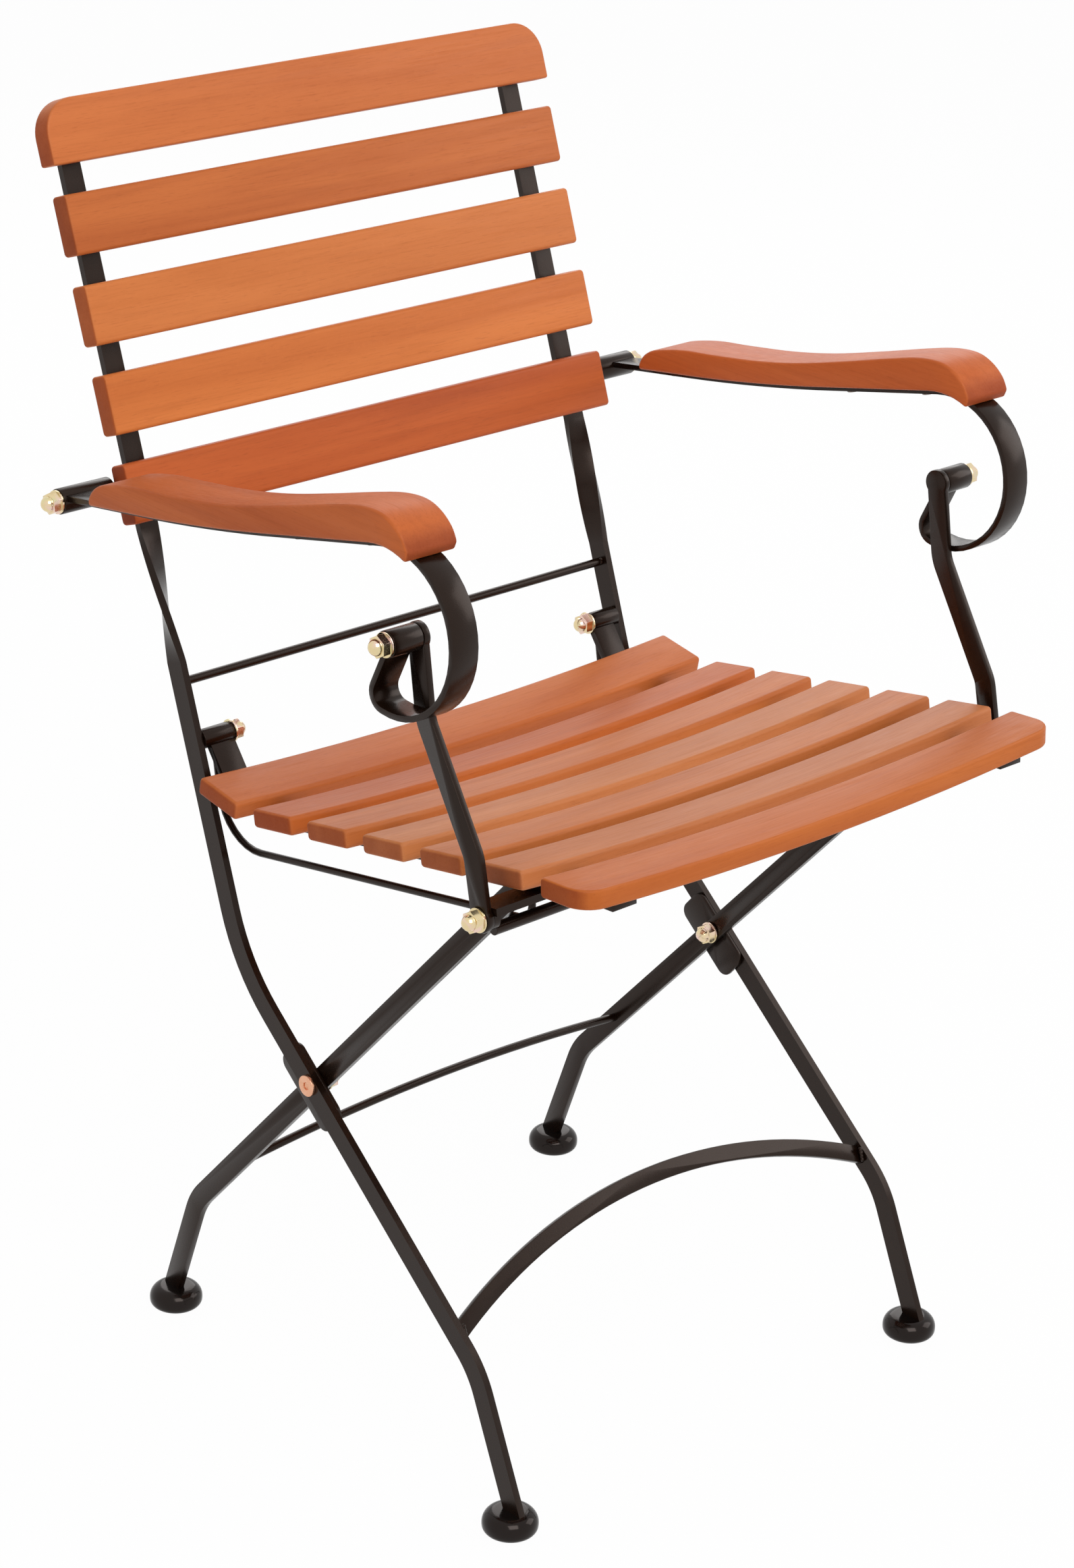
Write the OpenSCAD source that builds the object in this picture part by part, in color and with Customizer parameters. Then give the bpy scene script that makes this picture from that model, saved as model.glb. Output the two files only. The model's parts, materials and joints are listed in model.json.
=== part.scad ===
// Folding garden armchair: flat steel frame, round wire guides, hardwood slats and arms.
// X points to the sitter's left, -Y is where the sitter faces, +Z is up, the floor is Z = 0.
// Side-view points are written [y, z]. The pieces of the -X side are drawn, the +X side is their mirror.

/* [Steel sections] */
// Width of the flat bar of the legs, uprights and posts
bar_w = 15; // [12:0.5:17]
// Thickness of that flat bar
bar_t = 5; // [4:0.5:6]
// Half distance between the outer faces of the two front leg bars
frame_half = 196.5; // [185:0.5:197]
// Diameter of the guide wires under the seat
wire_d = 5; // [4:0.5:6]
// Diameter of the back rod and the bowed rear rod
rod_d = 6; // [5:0.5:8]
// Diameter of the seat front rod and of the sliding rod
slide_rod_d = 8; // [6:0.5:8]

/* [Pivots in side view] */
// Leg crossing pivot, distance behind the middle of the depth
cross_y = 4.8; // [-2:0.1:12]
// Leg crossing pivot, height
cross_z = 246; // [240:0.5:254]
// Seat rear pivot, distance behind the middle
seat_pivot_y = 127.8; // [124:0.1:132]
// Seat rear pivot, height
seat_pivot_z = 455; // [450:0.5:460]
// Depth offset from seat pivot to arm pivot, which is also that of the arm post
link_y = 63.5; // [63:0.1:64.5]
// Height offset from seat pivot to arm pivot, which is also that of the arm post
link_z = 165; // [158:0.5:172]
// Length from the arm's rear pivot to its front pivot
arm_link = 330; // [324:0.5:336]
// Diameter of every pivot stud
stud_d = 8; // [6:0.5:8]
// Radial play of a stud in its tube or hole
fit_play = 0.05; // [0.02:0.01:0.1]
// Gap between flat faces that slide past each other
face_gap = 0.3; // [0.2:0.05:0.5]

/* [Front legs and back uprights] */
// Slope of the front leg through the crossing, degrees from level
leg_slope = 39.5; // [38:0.1:41]
// Slope of the back upright
back_slope = 70.5; // [70:0.1:71]
// Slope of the front toe piece
toe_slope = 66; // [62:0.5:70]
// Distance of the front foot ahead of the middle
front_foot_y = -203.2; // [-208:0.1:-198]
// Bend radius between leg and upright
upright_bend_r = 140; // [100:5:150]
// Bend radius above the front foot
toe_bend_r = 70; // [40:5:80]
// Depth of the upright's centre line at the seat pivot, behind that pivot
upright_back = 3.4; // [3:0.1:3.5]
// Height where the twist of the upright starts
twist_z = 505; // [500:1:510]
// Length of the twist along the upright
twist_len = 92; // [80:1:95]
// Length of the upright from its bend point to its top end
upright_len = 578; // [570:1:586]

/* [Rear legs] */
// Slope of the rear toe piece
rear_toe_slope = 70.6; // [66:0.2:74]
// Distance of the rear foot behind the middle
rear_foot_y = 165.8; // [161:0.1:171]
// Bend radius above the rear foot
rear_bend_r = 60; // [40:5:80]
// Thickness of the stop plates between the crossing legs
plate_t = 3; // [2.5:0.5:4]
// Length of the stop plates
plate_len = 62; // [50:1:80]
// Width of the stop plates
plate_w = 28; // [20:1:30]

/* [Stretchers] */
// Height of the front arch's ends
arch_z = 122; // [118:1:130]
// Rise of the arch in its own plane
arch_rise = 45.5; // [35:0.5:60]
// Slope of the arch's plane, degrees from level
arch_lean = 57; // [45:1:70]
// Radial width of the arch bar
arch_w = 12; // [10:0.5:15]
// Height of the back rod
back_rod_z = 492; // [486:1:500]
// Height of the bowed rear rod at its ends
bow_z = 139; // [132:1:146]
// Rise of the bowed rear rod
bow_rise = 10; // [5:1:14]

/* [Feet] */
// Largest radius of the foot caps
foot_r = 19; // [16:0.5:22]
// Height of the foot caps
foot_h = 25; // [22:0.5:27]

/* [Slats] */
// Length of the slats
slat_len = 430; // [420:1:432]
// Width of the slats
slat_w = 40; // [36:0.5:42]
// Thickness of the back slats
back_slat_t = 16; // [12:0.5:17]
// Thickness of the seat slats
seat_slat_t = 13; // [10:0.5:13.5]
// Distance from the top end of the upright down to the middle of the top slat
top_slat_drop = 12.6; // [11:0.2:18]
// Distance along the upright from its bend point to the lowest back slat
back_first = 327; // [322:1:330]
// Width of the top slat
top_slat_w = 42; // [40:0.5:44]
// Extra length of the top slat at each end
top_slat_more = 3; // [0:0.5:6]
// Radius of the top slat's upper corners
top_corner_r = 24; // [10:1:30]
// Number of back slats
back_count = 5; // [5:1:5]
// Number of seat slats on the straight of the rails
seat_count = 6; // [6:1:6]
// Sag of the seat slats at mid length
seat_sag = 8; // [4:0.5:8]
// Radius of the front slat's front corners
front_corner_r = 17; // [8:1:20]

/* [Seat frame] */
// Rise of the seat towards the front, degrees
seat_tilt = 10.3; // [9:0.1:11]
// Depth of the slat tops below the seat pivot, square to the seat
seat_drop = 30; // [29:0.5:32]
// Distance from the seat pivot to the middle of the first straight slat
seat_first = 100.5; // [98:0.5:103]
// Distance between seat slats
seat_pitch = 56; // [54:0.5:56]
// Width of the seat rails
rail_w = 20; // [16:0.5:22]
// Thickness of the seat rails
rail_t = 5; // [4:0.5:5]
// Outer diameter of the seat pivot tubes
seat_tube_d = 13.5; // [12:0.5:15]
// Length of the seat pivot tubes
seat_tube_len = 25; // [22:0.5:25]
// Depth of the guide wire below the seat pivot, square to the seat
wire_drop = 78; // [74:1:82]
// Width of the front cross strip
strip_w = 22; // [18:0.5:23]
// Width of the ears at the ends of the strip
ear_w = 17; // [14:0.5:20]
// Depth of the seat front rod below the arm post pivot
front_rod_drop = 9; // [8.5:0.5:15]

/* [Arms] */
// Width of the arm strap
strap_w = 20; // [16:0.5:22]
// Thickness of the arm strap
strap_t = 4; // [3:0.5:5]
// Width of the wooden arm
arm_w = 40; // [36:0.5:42]
// Outer diameter of the arm tubes
arm_tube_d = 17.2; // [15:0.2:18]
// Gap between the slat ends and the inner ends of the rear arm tubes
arm_gap = 2; // [1.5:0.5:7]
// Reach of the arm tubes past the arm strap
arm_tube_over = 2; // [0.5:0.5:4]
// Radius of the scroll under the arm's front
scroll_r = 54; // [50:1:56]
// Gap between the slat ends and the arm posts
post_gap = 15; // [10.5:0.1:16]
// Gap between the arm posts and the arm strap
strap_gap = 1; // [0.5:0.1:3]

/* [Fasteners] */
// Across-flats size of the cap nuts
nut_af = 13; // [11:0.5:14]
// Height of a cap nut without its dome
nut_h = 5.5; // [5:0.5:7]
// Radius of the dome of a cap nut
dome_r = 5.4; // [5:0.1:5.8]
// Diameter of the washers
washer_d = 16; // [15:0.5:17]
// Thickness of the washers
washer_t = 1.5; // [1:0.1:2]
// Shank diameter of the wood screws
screw_d = 4; // [3:0.5:5]

/* [Hidden] */
$fn = 48;
// Steps of a bend in a flat bar
arc_steps = 8;

// Colours as photographed
steel = [0.11, 0.10, 0.10];
wood = [0.78, 0.42, 0.24];
arm_wood = [0.72, 0.34, 0.20];
zinc = [0.85, 0.74, 0.48];
cap = [0.03, 0.03, 0.03];

// Pivot points in side view
cross = [cross_y, cross_z];
seat_pivot = [seat_pivot_y, seat_pivot_z];
arm_pivot = seat_pivot + [link_y, link_z];
arm_level = 0.1;
arm_front = arm_pivot + arm_link * [-cos(arm_level), sin(arm_level)];
post_foot = arm_front - [link_y, link_z];
stud_r = stud_d / 2;
bore_r = stud_r + fit_play;

// Directions in side view
function dir(a) = [cos(a), sin(a)];
function turn_left(v) = [-v[1], v[0]];
leg_dir = dir(leg_slope);
back_dir = dir(back_slope);
toe_dir = dir(toe_slope);
rear_toe_dir = [-cos(rear_toe_slope), sin(rear_toe_slope)];

// Point where two lines in side view meet
function cross_2d(a, b) = a[0] * b[1] - a[1] * b[0];
function meet(p, u, q, v) = p + u * cross_2d(q - p, v) / cross_2d(u, v);

// Key points of the front leg and upright
upright_at_seat = seat_pivot + [upright_back, 0];
upright_foot = meet(cross, leg_dir, upright_at_seat, back_dir);
front_toe = [front_foot_y, foot_h - 2];
front_knee = meet(cross, leg_dir, front_toe, toe_dir);
toe_end_z = 6;
front_toe_end = meet([0, toe_end_z], [1, 0], front_toe, toe_dir);
twist_start = meet([0, twist_z], [1, 0], upright_foot, back_dir);
twist_end = twist_start + twist_len * back_dir;
upright_top = upright_foot + upright_len * back_dir;

// Planes of the flat bars, measured from the chair's middle
frame_in = frame_half - bar_t;
plate_in = frame_in - plate_t;
rear_out = plate_in - face_gap;
rear_in = rear_out - bar_t;
frame_mid = frame_half - bar_t / 2;

// Seat directions in side view: forward along the slat tops, and square up from them
seat_fwd = [-cos(seat_tilt), sin(seat_tilt)];
seat_up = [sin(seat_tilt), cos(seat_tilt)];
function seat_pt(f, u) = seat_pivot + f * seat_fwd + u * seat_up;
function to_seat(p) = [(p - seat_pivot) * seat_fwd, (p - seat_pivot) * seat_up];

// Sag of a seat slat at a distance x from the middle, measured from its ends
slat_half = slat_len / 2;
slat_arc_r = (slat_half * slat_half + seat_sag * seat_sag) / (2 * seat_sag);

// Distance between back slats, shared out from the lowest to the top one
back_pitch = (upright_len - top_slat_drop - back_first) / (back_count - 1);

// Arms and posts stand outside the slats and the twisted uprights, measured from the chair's middle
twisted_out = frame_mid + bar_w / 2;
side_half = max(slat_half, twisted_out);
arm_tube_start = side_half + arm_gap;
post_x = side_half + post_gap;
arm_x = post_x + bar_t + strap_gap + strap_w / 2;
arm_tube_end = arm_x + strap_w / 2 + arm_tube_over;

// Rails under the slats
seat_tube_end = frame_in - face_gap;
rail_start = seat_tube_end - seat_tube_len;
rail_mid = rail_start + rail_w / 2;
slat_under_mid = seat_slat_t + seat_sag;
slat_under_rail = sqrt(pow(slat_arc_r + seat_slat_t, 2) - rail_start * rail_start) - (slat_arc_r - seat_sag);
rail_top = -(seat_drop + slat_under_rail);
rail_bottom = rail_top - rail_t;
seat_tube_r = seat_tube_d / 2;
rear_slat_f = 46;
rear_slat_tilt = 19.8;
rear_slat_lift = 7.3;
slat_count = seat_count + 1;
function slat_f(i) = seat_first + (i - 1) * seat_pitch;
front_slat_tilt = 6.3;
front_bend_f = (slat_f(seat_count - 1) + slat_f(seat_count)) / 2;
front_slat_drop = (slat_f(seat_count) - front_bend_f) * tan(front_slat_tilt);
// Distance, height and tilt of the top of seat slat i, counted from the rear
function slat_place(i) =
  i == 1 ? [rear_slat_f, rear_slat_lift - seat_drop, rear_slat_tilt]
  : i == slat_count ? [slat_f(seat_count), -seat_drop - front_slat_drop, front_slat_tilt]
  : [slat_f(i - 1), -seat_drop, 0];
// Centre line of a rail, in distance forward and height from the seat pivot
function under_slat(s) = [s[0], s[1]] - (slat_under_rail + rail_t / 2) * [sin(s[2]), cos(s[2])];
function slat_run(s) = [cos(s[2]), -sin(s[2])];
rear_slat = slat_place(1);
front_slat = slat_place(slat_count);
rail_level = [0, rail_top - rail_t / 2];
rail_tail_r = 10;
rail_rear_r = 20;
rail_front_r = 30;
rail_rear_bend = under_slat(rear_slat) - (slat_w / 2 + 4.5) * slat_run(rear_slat);
rail_path = bent([
  [0, 0],
  rail_rear_bend,
  meet(rail_level, [1, 0], under_slat(rear_slat), slat_run(rear_slat)),
  meet(rail_level, [1, 0], under_slat(front_slat), slat_run(front_slat)),
  under_slat(front_slat) + (slat_w / 2 - 6) * slat_run(front_slat)
], [rail_tail_r, rail_rear_r, rail_front_r]);

// Sliding rod and upper end of the rear legs
rear_end_r = bar_w / 2 + 0.5;
wire_front_f = to_seat(post_foot)[0] - strip_w / 2 - 5.5;
slide_f = wire_front_f - wire_d / 2 - slide_rod_d / 2 - 0.5;
slide_u = rail_bottom - face_gap - rear_end_r;
slide_pt = seat_pt(slide_f, slide_u);
rear_dir = (slide_pt - cross) / norm(slide_pt - cross);
rear_toe = [rear_foot_y, foot_h - 4];
rear_knee = meet(cross, rear_dir, rear_toe, rear_toe_dir);
rear_toe_end = meet([0, toe_end_z], [1, 0], rear_toe, rear_toe_dir);

// Strip below the rails that carries the arm posts
slat_mid_bottom = -(seat_drop + slat_under_mid);
strip_t = bar_t;
strip_top = min(rail_bottom, slat_mid_bottom - 0.2);
strip_f = to_seat(post_foot)[0];
ear_out = post_x - face_gap;
ear_in = ear_out - strip_t;

// Path helpers for bent bars
function corner_arc(a, b, c, r) =
  let (u = (b - a) / norm(b - a), v = (c - b) / norm(c - b),
       side = sign(cross_2d(u, v)), angle = acos(u * v),
       cut = r * tan(angle / 2), start = b - cut * u,
       centre = start + side * r * turn_left(u))
  [for (k = [0 : arc_steps])
    let (t = side * angle * k / arc_steps, w = start - centre)
    centre + [w[0] * cos(t) - w[1] * sin(t), w[0] * sin(t) + w[1] * cos(t)]];
function beyond(a, b, d) = b + d * (b - a) / norm(b - a);
function bent(points, radii) = [
  points[0],
  for (i = [1 : len(points) - 2]) each corner_arc(points[i - 1], points[i], points[i + 1], radii[i - 1]),
  points[len(points) - 1]
];
function tangent(path, i) =
  let (a = path[max(i - 1, 0)], b = path[min(i + 1, len(path) - 1)]) (b - a) / norm(b - a);
function beside(path, d) = [for (i = [0 : len(path) - 1]) path[i] + d * turn_left(tangent(path, i))];
function reversed(list) = [for (i = [len(list) - 1 : -1 : 0]) list[i]];
function ribbon(path, width) = concat(beside(path, width / 2), reversed(beside(path, -width / 2)));

// Smooth curve through a few points
curve_steps = 5;
function on_curve(a, b, c, d, t) =
  0.5 * (2 * b + (c - a) * t + (2 * a - 5 * b + 4 * c - d) * t * t + (3 * b - a - 3 * c + d) * t * t * t);
function curve(p) = [
  for (i = [0 : len(p) - 2], k = [0 : curve_steps - 1])
    on_curve(p[max(i - 1, 0)], p[i], p[i + 1], p[min(i + 2, len(p) - 1)], k / curve_steps),
  p[len(p) - 1]
];

// Side-view outline as a plate of thickness t whose lower face is at x
module plate_at(x, t) { translate([x, 0, 0]) rotate([90, 0, 90]) linear_extrude(t) children(); }
// Round bar along X through a side-view point
module x_rod(p, x, length, r) {
  translate([x, p[0], p[1]]) rotate([0, 90, 0]) cylinder(r = r, h = length);
}
module both_sides() { children(); mirror([1, 0, 0]) children(); }
module on_left() { mirror([1, 0, 0]) children(); }
// Frame of the back upright: local z runs up the upright from a side-view point
module on_upright(p) { translate([0, p[0], p[1]]) rotate([back_slope - 90, 0, 0]) children(); }
// Frame of the seat: local x is sideways, local y runs rearward, local z is up from the seat
module on_seat(f, u, more = 0) {
  p = seat_pt(f, u);
  translate([0, p[0], p[1]]) rotate([more - seat_tilt, 0, 0]) children();
}
function to_side(path) = [for (p = path) seat_pt(p[0], p[1])];

// Rectangle with rounded corners, centred
module soft_square(size, r) {
  square([size[0], size[1] - 2 * r], center = true);
  square([size[0] - 2 * r, size[1]], center = true);
  for (i = [-1, 1], j = [-1, 1]) translate([i * (size[0] / 2 - r), j * (size[1] / 2 - r)]) circle(r);
}

// Round wire along a side-view path, in the plane of plate_at()
wire_sides = 12;
module wire_run(path, r) {
  last = len(path) - 1;
  ring = [for (k = [0 : wire_sides - 1]) 360 * k / wire_sides];
  function at(i, k) = i * wire_sides + k % wire_sides;
  polyhedron(
    points = [
      for (i = [0 : last], t = ring)
        let (n = turn_left(tangent(path, i)), c = path[i] + r * cos(t) * n) [c[0], c[1], r * sin(t)]
    ],
    faces = concat(
      [[for (k = [0 : wire_sides - 1]) at(0, k)]],
      [
        for (i = [0 : last - 1], k = [0 : wire_sides - 1])
          [at(i, k), at(i + 1, k), at(i + 1, k + 1), at(i, k + 1)]
      ],
      [[for (k = [wire_sides - 1 : -1 : 0]) at(last, k)]]
    ),
    convexity = 4
  );
}
module wire_at(x) { translate([x, 0, 0]) rotate([90, 0, 90]) children(); }

// Cap nut on its washer, growing towards -X from a face at x, with a blind bore for its stud
thread_len = washer_t + 4;
module cap_nut(p, x) {
  translate([x, p[0], p[1]]) rotate([0, -90, 0]) difference() {
    union() {
      cylinder(d = washer_d, h = washer_t);
      translate([0, 0, washer_t]) cylinder(d = nut_af / cos(30), h = nut_h, $fn = 6);
      translate([0, 0, washer_t + nut_h]) sphere(dome_r);
    }
    translate([0, 0, -1]) cylinder(r = stud_r, h = thread_len + 1);
  }
}
// Wood screw in a local frame: head below z = 0, shank upwards
screw_head_r = screw_d;
screw_head_h = 2;
screw_bite = 7;
module screw_shank(grip) { cylinder(d = screw_d, h = grip + screw_bite); }
module screw(grip) {
  screw_shank(grip);
  translate([0, 0, -screw_head_h]) cylinder(r = screw_head_r, h = screw_head_h);
}
// Foot cap: round barrel with a flat sole and a short collar
barrel_r = 12;
barrel_z = foot_h / 2 - 2;
sole_r = foot_r - barrel_r + sqrt(barrel_r * barrel_r - barrel_z * barrel_z);
module foot_cap() {
  rotate_extrude() intersection() {
    union() {
      translate([foot_r - barrel_r, barrel_z]) circle(barrel_r);
      square([foot_r - barrel_r, foot_h - 3]);
      square([foot_r - 7, foot_h]);
    }
    square([foot_r + 1, foot_h]);
  }
}

// Front leg and back upright of the -X side
module front_leg_flat() {
  plate_at(-frame_half, bar_t)
    polygon(ribbon(
      bent([front_toe_end, front_knee, upright_foot, twist_start], [toe_bend_r, upright_bend_r]), bar_w
    ));
}
module back_bar() {
  color(steel) difference() {
    union() {
      front_leg_flat();
      translate([-frame_mid, 0, 0]) on_upright(twist_start)
        linear_extrude(height = twist_len, twist = 90, slices = 18) square([bar_t, bar_w], center = true);
      translate([-frame_mid, 0, 0]) on_upright(twist_end)
        translate([-bar_w / 2, -bar_t / 2, 0]) cube([bar_w, bar_t, norm(upright_top - twist_end)]);
    }
    x_rod(cross, -frame_half - 1, bar_t + 2, stud_r);
    for (i = [1 : back_count]) at_back_screw(i) translate([0, 0, -1]) screw_shank(bar_t);
  }
}
module back_bar_right() { back_bar(); }
module back_bar_left() { on_left() back_bar(); }

// Arch between the front legs
leg_at_arch = meet([0, arch_z], [1, 0], cross, leg_dir);
arch_r = (frame_in * frame_in + arch_rise * arch_rise) / (2 * arch_rise);
module front_arch() {
  color(steel) translate([0, leg_at_arch[0], leg_at_arch[1]]) rotate([arch_lean, 0, 0])
    linear_extrude(bar_t, center = true) intersection() {
      translate([0, arch_rise - arch_r]) difference() {
        circle(arch_r + arch_w / 2, $fn = 180);
        circle(arch_r - arch_w / 2, $fn = 180);
      }
      translate([-frame_in, -2 * arch_w]) square([2 * frame_in, arch_rise + 4 * arch_w]);
    }
}

// Round rod between the uprights
module back_rod() {
  p = meet([0, back_rod_z], [1, 0], upright_foot, back_dir);
  color(steel) x_rod(p, -frame_in, 2 * frame_in, rod_d / 2);
}

// Back slats, from the lowest to the top one
function back_slat_w(i) = i == back_count ? top_slat_w : slat_w;
function back_slat_d(i) = back_first + (i - 1) * back_pitch + (back_slat_w(i) - slat_w) / 2;
module at_back_screw(i) {
  translate([-frame_mid, 0, 0]) on_upright(upright_foot + back_slat_d(i) * back_dir)
    translate([0, bar_t / 2, 0]) rotate([90, 0, 0]) children();
}
soft_r = 3;
module back_slat(i) {
  color(wood) difference() {
    on_upright(upright_foot + back_slat_d(i) * back_dir)
      translate([-slat_half, -bar_t / 2 - back_slat_t / 2, 0])
      rotate([90, 0, 90]) linear_extrude(slat_len) soft_square([back_slat_t, slat_w], soft_r);
    both_sides() at_back_screw(i) screw_shank(bar_t);
  }
}
module back_slat_1() { back_slat(1); }
module back_slat_2() { back_slat(2); }
module back_slat_3() { back_slat(3); }
module back_slat_4() { back_slat(4); }
module back_slat_5() {
  half = slat_half + top_slat_more;
  low = -top_slat_w / 2;
  color(wood) difference() {
    on_upright(upright_foot + back_slat_d(back_count) * back_dir)
      translate([0, -bar_t / 2, 0]) rotate([90, 0, 0]) linear_extrude(back_slat_t) intersection() {
        translate([-half, low]) square([2 * half, top_slat_w]);
        union() {
          translate([-half, low]) square([2 * half, top_slat_w - top_corner_r]);
          translate([top_corner_r - half, low]) square([2 * (half - top_corner_r), top_slat_w]);
          for (i = [-1, 1]) translate([i * (half - top_corner_r), -low - top_corner_r]) circle(top_corner_r);
        }
      }
    both_sides() at_back_screw(back_count) screw_shank(bar_t);
  }
}
module back_slat_screws() {
  color(zinc) both_sides() for (i = [1 : back_count]) at_back_screw(i) screw(bar_t);
}

// Plates that space the crossing bars
plate_corner_r = 8;
module stop_plate() {
  color(steel) difference() {
    shift = (plate_w - bar_w) / 2;
    c = cross - shift * turn_left(leg_dir);
    plate_at(-frame_in, plate_t) translate(c) rotate(leg_slope) soft_square([plate_len, plate_w], plate_corner_r);
    x_rod(cross, -frame_half, frame_half, stud_r);
  }
}
module stop_plate_right() { stop_plate(); }
module stop_plate_left() { on_left() stop_plate(); }

module front_foot() {
  color(cap) difference() {
    translate([-frame_mid, front_foot_y, 0]) foot_cap();
    front_leg_flat();
  }
}
module front_foot_right() { front_foot(); }
module front_foot_left() { on_left() front_foot(); }

// Seat pivots: studs on the inner faces of the uprights, tubes of the seat frame around them
inner_nut_x = rail_start - face_gap;
module seat_pivot_studs() {
  color(steel) both_sides() x_rod(seat_pivot, -frame_in, frame_in - inner_nut_x + thread_len, stud_r);
}
module seat_pivot_nuts() { color(zinc) both_sides() mirror([1, 0, 0]) cap_nut(seat_pivot, inner_nut_x); }

// Arm pivots: studs on the outer edges of the uprights
arm_stud_x = frame_mid + bar_w / 2;
arm_nut_x = arm_tube_end + face_gap;
module arm_pivot_studs() {
  color(steel) both_sides()
    x_rod(arm_pivot, -arm_nut_x - thread_len, arm_nut_x + thread_len - arm_stud_x, stud_r);
}
module arm_pivot_nuts() { color(zinc) both_sides() cap_nut(arm_pivot, -arm_nut_x); }

// Leg crossing: flat socket head outside, cap nut inside
head_d = 15;
head_h = 2.5;
socket_af = 5;
cross_nut_x = rear_in - face_gap;
module cross_bolts() {
  color([0.80, 0.55, 0.42]) both_sides() difference() {
    union() {
      x_rod(cross, -frame_half - head_h, head_h, head_d / 2);
      x_rod(cross, -frame_half, frame_half - cross_nut_x + thread_len, stud_r);
    }
    translate([-frame_half - head_h - 1, cross[0], cross[1]]) rotate([0, 90, 0])
      cylinder(d = socket_af / cos(30), h = head_h, $fn = 6);
  }
}
module cross_nuts() { color(zinc) both_sides() mirror([1, 0, 0]) cap_nut(cross, cross_nut_x); }

// Rear leg of the -X side, inside the front leg
module rear_leg_flat() {
  plate_at(-rear_out, bar_t)
    polygon(ribbon(bent([rear_toe_end, rear_knee, beyond(rear_knee, slide_pt, 2)], [rear_bend_r]), bar_w));
  x_rod(slide_pt, -rear_out, bar_t, rear_end_r);
}
module rear_leg() {
  color(steel) difference() {
    union() rear_leg_flat();
    x_rod(cross, -frame_half, frame_half, bore_r);
    x_rod(slide_pt, -frame_half, frame_half, slide_rod_d / 4);
  }
}
module rear_leg_right() { rear_leg(); }
module rear_leg_left() { on_left() rear_leg(); }
bow_r = (rear_in * rear_in + bow_rise * bow_rise) / (2 * bow_rise);
module rear_bow_rod() {
  p = meet([0, bow_z], [1, 0], cross, rear_dir);
  half_turn = asin(rear_in / bow_r) + 0.5;
  color(steel) intersection() {
    translate([0, p[0], p[1] + bow_rise - bow_r]) rotate([90, 0, 0]) rotate([0, 0, 90 - half_turn])
      rotate_extrude(angle = 2 * half_turn, $fn = 180) translate([bow_r, 0]) circle(rod_d / 2, $fn = 48);
    translate([-rear_in, p[0] - rod_d, 0]) cube([2 * rear_in, 2 * rod_d, 2 * bow_z]);
  }
}
module rear_foot() {
  color(cap) difference() {
    translate([-(rear_in + rear_out) / 2, rear_foot_y, 0]) foot_cap();
    rear_leg_flat();
  }
}
module rear_foot_right() { rear_foot(); }
module rear_foot_left() { on_left() rear_foot(); }

// Rod that joins the upper ends of the rear legs and slides along the guide wires
slide_rod_half = rear_in - 0.5;
module slide_rod() { color(steel) x_rod(slide_pt, -slide_rod_half, 2 * slide_rod_half, slide_rod_d / 2); }

// Seat frame
module rail_flat() {
  plate_at(-rail_start - rail_w, rail_w) polygon(to_side(ribbon(rail_path, rail_t)));
}
module seat_rail() {
  color(steel) difference() {
    rail_flat();
    x_rod(seat_pivot, -frame_half, frame_half, seat_tube_r);
    for (i = [1 : slat_count]) at_seat_screw(i) translate([0, 0, -1]) screw_shank(rail_t);
  }
}
module seat_rail_right() { seat_rail(); }
module seat_rail_left() { on_left() seat_rail(); }
module seat_tube() {
  color(steel) difference() {
    x_rod(seat_pivot, -seat_tube_end, seat_tube_len, seat_tube_r);
    x_rod(seat_pivot, -frame_half, frame_half, bore_r);
  }
}
module seat_tube_right() { seat_tube(); }
module seat_tube_left() { on_left() seat_tube(); }
// Ear at each end of the strip, rounded about the post foot pivot
ear_r = ear_w / 2;
ear_u = to_seat(post_foot)[1];
ear_outline = concat(
  [for (a = [180 : 15 : 360]) [strip_f, ear_u] + ear_r * dir(a)],
  [[strip_f + ear_r, strip_top - strip_t / 2], [strip_f - ear_r, strip_top - strip_t / 2]]
);
module seat_cross_strip() {
  color(steel) difference() {
    union() {
      on_seat(strip_f, 0)
        translate([-ear_out, -strip_w / 2, strip_top - strip_t]) cube([2 * ear_out, strip_w, strip_t]);
      both_sides() plate_at(-ear_out, strip_t) polygon(to_side(ear_outline));
    }
    x_rod(post_foot, -2 * frame_half, 4 * frame_half, stud_r);
    at_seat_screw(seat_count) translate([0, 0, -1]) screw_shank(2 * rail_t);
    on_left() at_seat_screw(seat_count) translate([0, 0, -1]) screw_shank(2 * rail_t);
  }
}
front_rod = post_foot - front_rod_drop * seat_up;
module seat_front_rod() { color(steel) x_rod(front_rod, -ear_in, 2 * ear_in, slide_rod_d / 2); }
wire_x = rail_mid + 1;
wire_bend = 12;
wire_rear_bend = 38;
wire_rear_f = -3;
module guide_wire() {
  color(steel) wire_at(-wire_x) wire_run(to_side(bent([
    [wire_rear_f, -seat_tube_r + 0.3],
    [wire_rear_f, -wire_drop],
    [wire_front_f, -wire_drop],
    [wire_front_f, rail_bottom]
  ], [wire_rear_bend, wire_bend])), wire_d / 2);
}
module guide_wire_right() { guide_wire(); }
module guide_wire_left() { on_left() guide_wire(); }

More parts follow.
